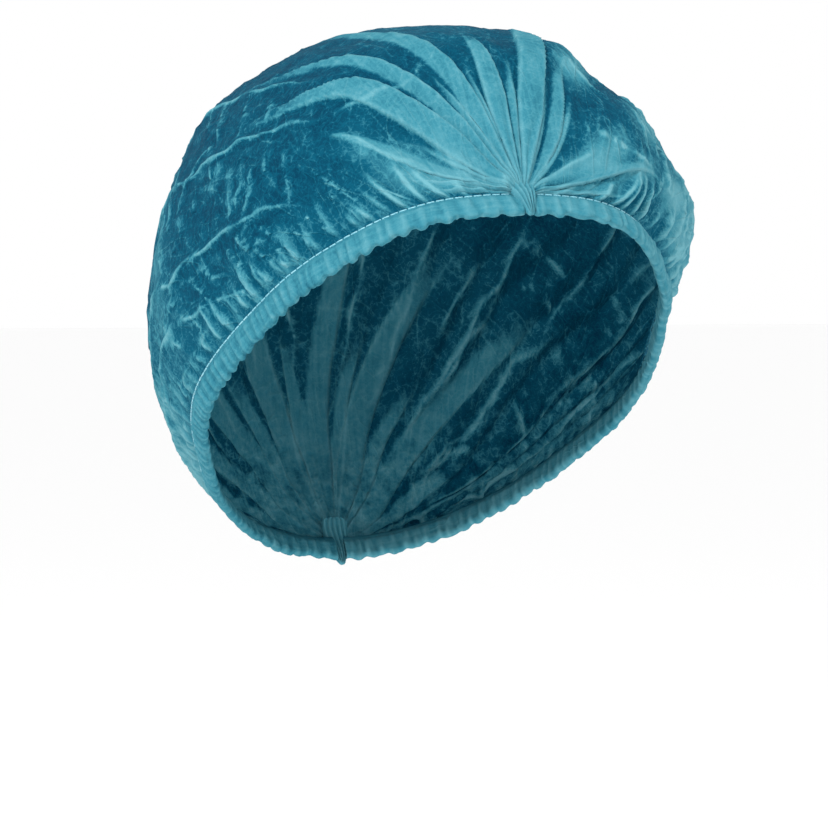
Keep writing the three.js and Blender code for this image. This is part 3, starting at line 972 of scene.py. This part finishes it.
def ruched_ribbon(name, left):
    """One hem: a flat ribbon that is folded over, ruched and laid along the opening."""
    ribbon = add_shape(bpy.ops.mesh.primitive_grid_add, x_subdivisions=RIBBON_COLUMNS,
                       y_subdivisions=RIBBON_ROWS, size=2)
    ribbon.name = name
    flat = positions(ribbon.data)
    across, even = flat[:, 0], (flat[:, 1] + 1) / 2
    length = np.interp([CASING_FROM, CASING_TO], CHART_AT, HEM_LENGTHS)
    at = np.interp(length[0] + even * (length[1] - length[0]), HEM_LENGTHS, CHART_AT)
    along = np.interp(at, CHART_AT, HEM_LENGTHS)
    top, down, out = hem_frame(at, left)[:3]
    depth, half = fold_section(across)
    outer = across < 0
    phase = uneven_waves(along + RUCHE_SLANT * depth, RUCHE_SPACING, RUCHE_SEED + left)
    phase_in = uneven_waves(along + INNER_SLANT * depth, RUCHE_SPACING, INNER_SEED + left)
    ridge = 1 - 2 * abs(np.sin(math.pi * np.where(outer, phase, phase_in))) ** 0.8
    fine_phase = uneven_waves(along + FINE_SLANT * depth, FINE_SPACING, FINE_SEED + left)
    ridge = ridge + FINE_SHARE * np.sin(2 * math.pi * fine_phase)
    loose = ease(*LOOSE_FROM, depth)
    depth = depth * (1 + hem_drop(at, along, left) / CASING_DEPTH * ease(*DROP_FROM, depth))
    sign = np.where(outer, 1, -1)
    lively = 0.75 + 0.9 * noise_along(along, 11, 2.0 + left, 7.0)
    calm = np.where(depth > CALM_BELOW, CALM, 1.0) * half / FULL
    offset = sign * (half + RUCHE_DEPTH * lively * loose * ridge * calm)
    offset = offset + LEAN_IN_AND_OUT * noise_along(along, 16, 5.0 + left) * loose
    move_to(ribbon.data, top + down * (depth - SEAM_RAISED)[:, None] + out * offset[:, None])
    # Painted shading on the ruches: lighter along each ridge and darker in the hollows between.
    add_attributes(ribbon.data, doubled=1, creased=np.clip(0.5 + 0.5 * ridge, 0, 1) * loose,
                   pale=hem_paleness(at, left), crumpled=0.3)
    unroll(ribbon.data, sign * depth, along)
    return ribbon


hems = {name: ruched_ribbon(name, left) for name, left in (("hem_right", 0), ("hem_left", 1))}
for name, hem in hems.items():
    top, down, out = hem_frame(np.array([90.0]), int(name == "hem_left"))[:3]
    spot = Vector((top[0] + 4 * down[0] + 2 * out[0]) * MM)
    outer_face = min(hem.data.polygons, key=lambda p: (p.center - spot).length)
    if outer_face.normal.dot(Vector(out[0])) < 0:
        hem.data.flip_normals()
    thicken(hem)

# %% [markdown]
# ## The stitches
# A single line of pale thread closes each casing. On the outside it shows as short stitches, nearly end
# to end. One stitch is a small cylinder with rounded ends; the rest are copies of its mesh, each laid
# along its own stretch of the hem.

# %% Sew the hems
STITCH_LENGTH = 2.5
STITCH_GAP = 0.35
STITCH_RADIUS = 0.26
STITCH_SIDES = 8
STITCH_ROUNDING = 0.8
STITCH_DEPTH = 0.45
STITCH_SWAY = 0.12
STITCH_STANDS = 0.25
SEWN_FROM_END = 1.5


def model_stitch():
    """One stitch along X, in metres."""
    stitch = add_shape(bpy.ops.mesh.primitive_cylinder_add, vertices=STITCH_SIDES,
                       radius=STITCH_RADIUS * MM, depth=STITCH_LENGTH * MM, rotation=(0, math.pi / 2, 0))
    bpy.ops.object.transform_apply(location=False, rotation=True, scale=False)
    bevel = stitch.modifiers.new("round", "BEVEL")
    bevel.width = STITCH_RADIUS * STITCH_ROUNDING * MM
    bevel.segments = 2
    bevel.limit_method = "ANGLE"
    bevel.angle_limit = math.radians(60)
    bpy.ops.object.modifier_apply(modifier=bevel.name)
    return stitch


def sew(name, left, stitch):
    """Copies of the stitch along one hem, joined into one piece."""
    shape = positions(stitch.data)
    faces = [tuple(p.vertices) for p in stitch.data.polygons]
    first, last = np.interp([CASING_FROM + SEWN_FROM_END, CASING_TO - SEWN_FROM_END], CHART_AT, HEM_LENGTHS)
    count = int((last - first) / (STITCH_LENGTH + STITCH_GAP))
    middles = first + (np.arange(count) + 0.5) * (last - first) / count
    top, down, out, along = hem_frame(np.interp(middles, HEM_LENGTHS, CHART_AT), left)
    deep = STITCH_DEPTH + STITCH_SWAY * noise_along(middles, 6, 9, left) - SEAM_RAISED
    centres = top + down * deep[:, None] + out * (PINCHED + STITCH_STANDS)
    points = np.concatenate([
        centres[i] * MM + shape[:, :1] * along[i] + shape[:, 1:2] * down[i] + shape[:, 2:] * out[i]
        for i in range(count)])
    mesh = bpy.data.meshes.new(name)
    mesh.from_pydata(points.tolist(), [], [tuple(v + i * len(shape) for v in face)
                                           for i in range(count) for face in faces])
    piece = bpy.data.objects.new(name, mesh)
    bpy.context.collection.objects.link(piece)
    if left:
        mesh.flip_normals()
    shade_smooth(mesh)
    print(name, count, "stitches")
    return piece


stitch = model_stitch()
threads = {name: sew(name, left, stitch) for name, left in (("stitches_right", 0), ("stitches_left", 1))}
bpy.data.objects.remove(stitch)

# %% [markdown]
# ## The two bunches
# Each end of the strip is drawn together into a bunch: a wedge of tight folds that is widest where it
# meets the pleats and narrows to a tip at the hem's edge. A ball is squeezed into that wedge and its
# folds are pressed in as ribs that run together at the tip. A row of the table gives a height above the
# hem line, and there the wedge's half-width, its thickness and how far forward it stands.

# %% Shape the bunches
BUNCH_SECTIONS = np.array([
    (-10.4, 0.2, 0.3, 0.8),
    (-9.9, 1.0, 1.6, 0.8),
    (-7.5, 1.9, 2.8, 1.0),
    (-4.0, 2.9, 3.6, 1.3),
    (-1.0, 3.8, 3.8, 1.5),
    (1.5, 4.3, 3.2, 1.0),
    (4.5, 4.6, 2.6, 0.0),
    (7.5, 4.4, 2.0, -1.4),
    (8.2, 0.5, 0.2, -2.2),
])
BALL_SIDES = 120
BALL_RINGS = 60
BUNCH_RIBS = 5
BUNCH_RIB_DEPTH = 0.55
BUNCH_TWIST = 0.5
TWIST_HEIGHT = 3.0
RIBS_FULL_AT = 2.4
BUNCH_RISES_TO = 5


def bunch(name, end):
    """A ball squeezed into the wedge of folds; end is 1 at the front and -1 at the nape."""
    piece = add_shape(bpy.ops.mesh.primitive_uv_sphere_add, segments=BALL_SIDES,
                      ring_count=BALL_RINGS, radius=1)
    piece.name = name
    ball = positions(piece.data)
    round_off = np.maximum(np.hypot(ball[:, 0], ball[:, 1]), 1e-6)
    aside, facing = ball[:, 0] / round_off, ball[:, 1] / round_off
    aboves, *columns = BUNCH_SECTIONS.T
    heights = np.arcsin(np.clip(ball[:, 2], -1, 1)) / math.pi + 0.5
    above = aboves[0] + heights * (aboves[-1] - aboves[0])
    half, thick, forward = (np.interp(above, aboves, column) for column in columns)
    lean = math.radians(size("lean", np.array([0.0 if end > 0 else 180.0]))[0])
    outwards = TO_FRONT * end
    up = OFF_PLANE * math.cos(lean) - outwards * math.sin(lean)
    out = outwards * math.cos(lean) + OFF_PLANE * math.sin(lean)
    middle = place(*(np.array([v]) for v in (end * OPENING_HALF_LENGTH, 0, 0)))[0]
    rise_at = np.array([BUNCH_RISES_TO if end > 0 else 180.0 - BUNCH_RISES_TO])
    rise = unit(smooth_cloth(rise_at, np.array([0.0]))[0] - middle)
    twist = BUNCH_TWIST * np.sin(above / TWIST_HEIGHT)
    folds = 2 * abs(np.cos(math.pi / 2 * BUNCH_RIBS * aside + twist)) - 1
    folds = folds * np.abs(facing) ** 0.5
    ribs = BUNCH_RIB_DEPTH * folds * np.sign(facing) * np.clip(thick / RIBS_FULL_AT, 0, 1)
    deep = (thick / 2) * facing + ribs
    tall = np.where((above < 0)[:, None], up, rise) * above[:, None]
    move_to(piece.data, middle + tall + TO_LEFT * (half * aside)[:, None] + out * (forward + deep)[:, None])
    if end > 0:
        piece.data.flip_normals()
    shade_smooth(piece.data)
    # Painted shading on the ribs: lighter along each rib and darker in the hollows between.
    add_attributes(piece.data, doubled=1, creased=np.clip(0.5 + 0.5 * folds, 0, 1), pale=0.2, crumpled=0)
    unroll(piece.data, half * aside, above)
    return piece


bunches = {"bunch_front": bunch("bunch_front", 1), "bunch_back": bunch("bunch_back", -1)}
for name, piece in bunches.items():
    print(name, "in mm:", (np.ptp(positions(piece.data), axis=0) / MM).round(1))

# %% [markdown]
# ## Shader maths
# Materials are written as expressions. The class below wraps a node's socket, so that adding or
# multiplying two of them adds the Math node that does it, and its other methods add the nodes that
# several materials use.

# %% Sums of sockets
class Wire:
    """A socket of a node tree that can stand in an expression."""

    def __init__(self, tree, socket=None):
        self.tree = tree
        self.socket = socket

    def node(self, kind, settings=None, values=None, out=0):
        """Adds a node: its settings first, then the values or wires of its sockets."""
        made = self.tree.nodes.new(kind)
        for name, setting in (settings or {}).items():
            setattr(made, name, setting)
        for name, value in (values or {}).items():
            if isinstance(value, Wire):
                self.tree.links.new(value.socket, made.inputs[name])
            else:
                made.inputs[name].default_value = value
        return Wire(self.tree, made.outputs[out])

    def maths(self, operation, first, second=0.0):
        """Adds a Math node."""
        return self.node("ShaderNodeMath", {"operation": operation}, {0: first, 1: second})

    def __add__(self, other):
        return self.maths("ADD", self, other)

    def __sub__(self, other):
        return self.maths("SUBTRACT", self, other)

    def __rsub__(self, other):
        return self.maths("SUBTRACT", other, self)

    def __mul__(self, other):
        return self.maths("MULTIPLY", self, other)

    __radd__ = __add__
    __rmul__ = __mul__

    def size(self):
        """The value without its sign."""
        return self.maths("ABSOLUTE", self)

    def between(self, low, high):
        """0 at low, 1 at high, with a smooth step between."""
        values = {"Value": self, "From Min": low, "From Max": high}
        return self.node("ShaderNodeMapRange", {"interpolation_type": "SMOOTHSTEP"}, values)

    def noise(self, scale, detail, **more):
        """Soft noise at this point."""
        values = {"Vector": self, "Scale": scale, "Detail": detail, **more}
        return self.node("ShaderNodeTexNoise", None, values)

    def stretch(self, factors, offset=0.0):
        """This point with each coordinate multiplied by its factor, and moved aside by an offset."""
        values = {0: self, 1: factors, 2: (offset, offset, 0)}
        return self.node("ShaderNodeVectorMath", {"operation": "MULTIPLY_ADD"}, values)

    def bump(self, strength, distance):
        """Bumps of the height this value gives."""
        values = {"Height": self, "Strength": strength, "Distance": distance}
        return self.node("ShaderNodeBump", None, values)

    def ramp(self, stops):
        """Colours along this value; stops are (place, colour)."""
        made = self.tree.nodes.new("ShaderNodeValToRGB")
        self.tree.links.new(self.socket, made.inputs[0])
        for stop in stops[1:-1]:
            made.color_ramp.elements.new(stop[0])
        for element, stop in zip(made.color_ramp.elements, stops):
            element.position, element.color = stop
        return Wire(self.tree, made.outputs[0])


def colour(red, green, blue):
    """A colour given as it is seen on a screen, 0 to 255, turned to the linear values shaders use."""
    def linear(v):
        return v / 12.92 if v <= 0.04045 else ((v + 0.055) / 1.055) ** 2.4
    return tuple(linear(v / 255) for v in (red, green, blue)) + (1,)


def new_material(name):
    """A material, its tree as a wire with no socket, and the socket that its surface goes into."""
    made = bpy.data.materials.new(name)
    made.use_nodes = True
    made.node_tree.nodes.clear()
    output = made.node_tree.nodes.new("ShaderNodeOutputMaterial")
    return made, Wire(made.node_tree), output.inputs["Surface"]


# %% [markdown]
# ## Spunbond cloth
# Spunbond is a mat of fine curly filaments, pressed together at a grid of small points. Close up it
# shows pale curls on a darker ground, and more layers look paler. The curls are the lines along which a
# noise passes its middle value. The attributes set in the modelling say where the cloth is doubled, where
# its folds get painted highlights and shadows, where it is pale, partly with painted light, and where it
# is crumpled, with painted glints.

# %% Curls and crinkles
CURL_SIZE = 3.0 * MM
FINE_CURL_SIZE = 1.3 * MM
CRINKLE_LINE = 0.045
CRINKLE_PATCHES = (0.42, 0.58)


def curls(point, width, offset, thickness):
    """Curly lines: 1 on a line and 0 between."""
    value = point.stretch((1, 1, 1), offset).noise(1 / width, 1.5, Roughness=0.5, Distortion=0.5)
    return 1 - (value - 0.5).size().between(0.0, thickness)


def crinkles(on_cloth, across, along, offset):
    """Fine standing creases in patches; across and along are their spacing in millimetres each way."""
    stretched = on_cloth.stretch((CLOTH_UNIT / across, CLOTH_UNIT / along, 0), offset)
    line = 1 - (stretched.noise(1.0, 1.0, Distortion=0.3) - 0.5).size().between(0.0, CRINKLE_LINE)
    return line * on_cloth.noise(5.0 + offset, 1.0).between(*CRINKLE_PATCHES)


# %% Cloth material
CLOUD_SIZE = 12 * MM
CRUMPLE_GLINT_SIZE = 4.5 * MM
BOND_SPACING = 1.1 * MM
STREAK_WIDTH = 1.4
STREAK_LENGTH = 20.0
BUMP_HEIGHT = 0.25 * MM
BUMPS = dict(curl=0.35, bond=0.35, line=1.6, crumple_and_glints=5.0)
LIGHT_THROUGH = 0.25
CLOTH_COLOURS = [
    (0.0, colour(0, 62, 88)),
    (0.3, colour(6, 90, 116)),
    (0.6, colour(64, 142, 160)),
    (1.0, colour(112, 176, 188)),
]


def cloth_material(name, base_tone, shares):
    """Spunbond; shares say how much each feature adds to the tone, painted light and shade among them."""
    material, tree, surface = new_material(name)
    point = tree.node("ShaderNodeTexCoord", out=3)
    on_cloth = tree.node("ShaderNodeTexCoord", out=2)
    doubled, creased, pale, crumpled = (
        tree.node("ShaderNodeAttribute", {"attribute_name": word}, out=2)
        for word in ("doubled", "creased", "pale", "crumpled"))
    wide_curls = curls(point, CURL_SIZE, 0.0, 0.055) + curls(point, CURL_SIZE * 1.2, 0.31, 0.05)
    fine_curls = curls(point, FINE_CURL_SIZE, 0.17, 0.07)
    cloudy = point.noise(1 / CLOUD_SIZE, 3.0) - 0.5
    # Painted glints and shade on crumpled cloth: a noise lightens and darkens the tone where it is
    # crumpled, and bumps it too.
    crumple_and_glints = (point.noise(1 / CRUMPLE_GLINT_SIZE, 3.0, Roughness=0.65) - 0.5) * crumpled
    bonds = tree.node("ShaderNodeTexVoronoi", {"feature": "F1"},
                      {"Vector": point, "Scale": 1 / BOND_SPACING, "Randomness": 0.25})
    lines = crinkles(on_cloth, 7.0, 26.0, 0.0) + crinkles(on_cloth, 22.0, 8.0, 3.7)
    streaks = on_cloth.stretch((CLOTH_UNIT / STREAK_WIDTH, CLOTH_UNIT / STREAK_LENGTH, 0)).noise(1.0, 2.0)
    single = 1 - 0.5 * doubled
    curl = (wide_curls + 0.6 * fine_curls) * single * (1 - 0.5 * pale)
    # The crinkle lines are painted lighter, as a painted highlight along each fine crease, and are bumped
    # too.
    shown_lines = lines * single
    # The fold shading is painted: highlights along crests and edges, shadows beside the creases.
    tone = curl * shares["curl"] + doubled * shares["doubled"] + creased * shares["creased"]
    # Paleness is partly painted light: where light comes through, on smooth lit places and on the shaded
    # underside by the nape.
    tone = tone + pale * (1 - 0.7 * doubled) * shares["pale"] + shown_lines * shares["line"]
    tone = tone + (streaks - 0.5) * doubled * shares["streak"]
    tone = tone + cloudy * shares["cloud"] + crumple_and_glints * shares["crumple_and_glints"] + base_tone
    shade = tone.ramp(CLOTH_COLOURS)
    height = curl * BUMPS["curl"] + bonds * BUMPS["bond"] + shown_lines * BUMPS["line"]
    normal = (height + crumple_and_glints * BUMPS["crumple_and_glints"]).bump(0.6, BUMP_HEIGHT)
    face = tree.node("ShaderNodeBsdfPrincipled", None,
                     {"Base Color": shade, "Roughness": 0.72 + 0.15 * bonds, "Normal": normal,
                      "Specular IOR Level": 0.06})
    through = tree.node("ShaderNodeBsdfTranslucent", None, {"Color": shade, "Normal": normal})
    both = tree.node("ShaderNodeMixShader", None, {0: LIGHT_THROUGH, 1: face, 2: through})
    tree.tree.links.new(both.socket, surface)
    return material


crown_finish = cloth_material("spunbond_crown", 0.05, dict(
    curl=0.14, doubled=0.5, creased=0.75, pale=0.55, line=0.14, cloud=0.3, crumple_and_glints=1.1, streak=0.3))
hem_finish = cloth_material("spunbond_hem", 0.46, dict(
    curl=0.08, doubled=0.08, creased=0.22, pale=0.3, line=0.08, cloud=0.3, crumple_and_glints=0.5, streak=0.3))
crown.data.materials.append(crown_finish)
for piece in (*hems.values(), *bunches.values()):
    piece.data.materials.append(hem_finish)
print("cloth materials:", crown_finish.name, hem_finish.name)

# %% [markdown]
# ## Thread and rubber
# The thread is polyester, two strands twisted together, which shows as slanting bands across each stitch.
# The elastic in the casing is plain pale rubber thread with a dusty surface. It is the CAD node itself,
# because its round section is already right.

# %% Thread and rubber materials
STRAND_SIZE = 1.6 * MM
DUST_SIZE = 0.8 * MM
THREAD_COLOURS = [(0.0, colour(98, 172, 190)), (1.0, colour(140, 200, 212))]
RUBBER_COLOURS = [(0.3, colour(196, 203, 203)), (0.7, colour(228, 231, 228))]


def strands(point):
    """Slanting bands of twisted strands."""
    return point.node("ShaderNodeTexWave", {"wave_type": "BANDS", "bands_direction": "DIAGONAL"},
                      {"Vector": point, "Scale": 1 / STRAND_SIZE, "Distortion": 1.5})


def dust(point):
    """Fine dusty specks."""
    return point.noise(1 / DUST_SIZE, 4.0)


def patterned_material(name, pattern, colours, smoothest, rougher, bump, sheen):
    """A surface whose colour, roughness and bumps all follow one pattern."""
    material, tree, surface = new_material(name)
    value = pattern(tree.node("ShaderNodeTexCoord", out=3))
    face = tree.node("ShaderNodeBsdfPrincipled", None,
                     {"Base Color": value.ramp(colours), "Roughness": smoothest + rougher * value,
                      "Normal": value.bump(*bump), "Sheen Weight": sheen})
    tree.tree.links.new(face.socket, surface)
    return material


thread_finish = patterned_material("twisted_thread", strands, THREAD_COLOURS, smoothest=0.55,
                                   rougher=0.2, bump=(0.4, 0.1 * MM), sheen=0.2)
rubber_finish = patterned_material("rubber_thread", dust, RUBBER_COLOURS, smoothest=0.6,
                                   rougher=0.3, bump=(0.3, 0.08 * MM), sheen=0.0)
for piece in threads.values():
    piece.data.materials.append(thread_finish)
for name in ("elastic_right", "elastic_left"):
    slots = bpy.data.objects[name].material_slots
    if slots:
        slots[0].material = rubber_finish
    else:
        bpy.data.objects[name].data.materials.append(rubber_finish)
print("thread and rubber are on")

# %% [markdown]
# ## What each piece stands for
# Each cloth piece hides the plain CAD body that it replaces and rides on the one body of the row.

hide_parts("crown")
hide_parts("casing_right")
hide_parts("casing_left")
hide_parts("front_gather")
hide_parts("back_gather")
for piece in (crown, *hems.values(), *bunches.values(), *threads.values()):
    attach(piece, "root")
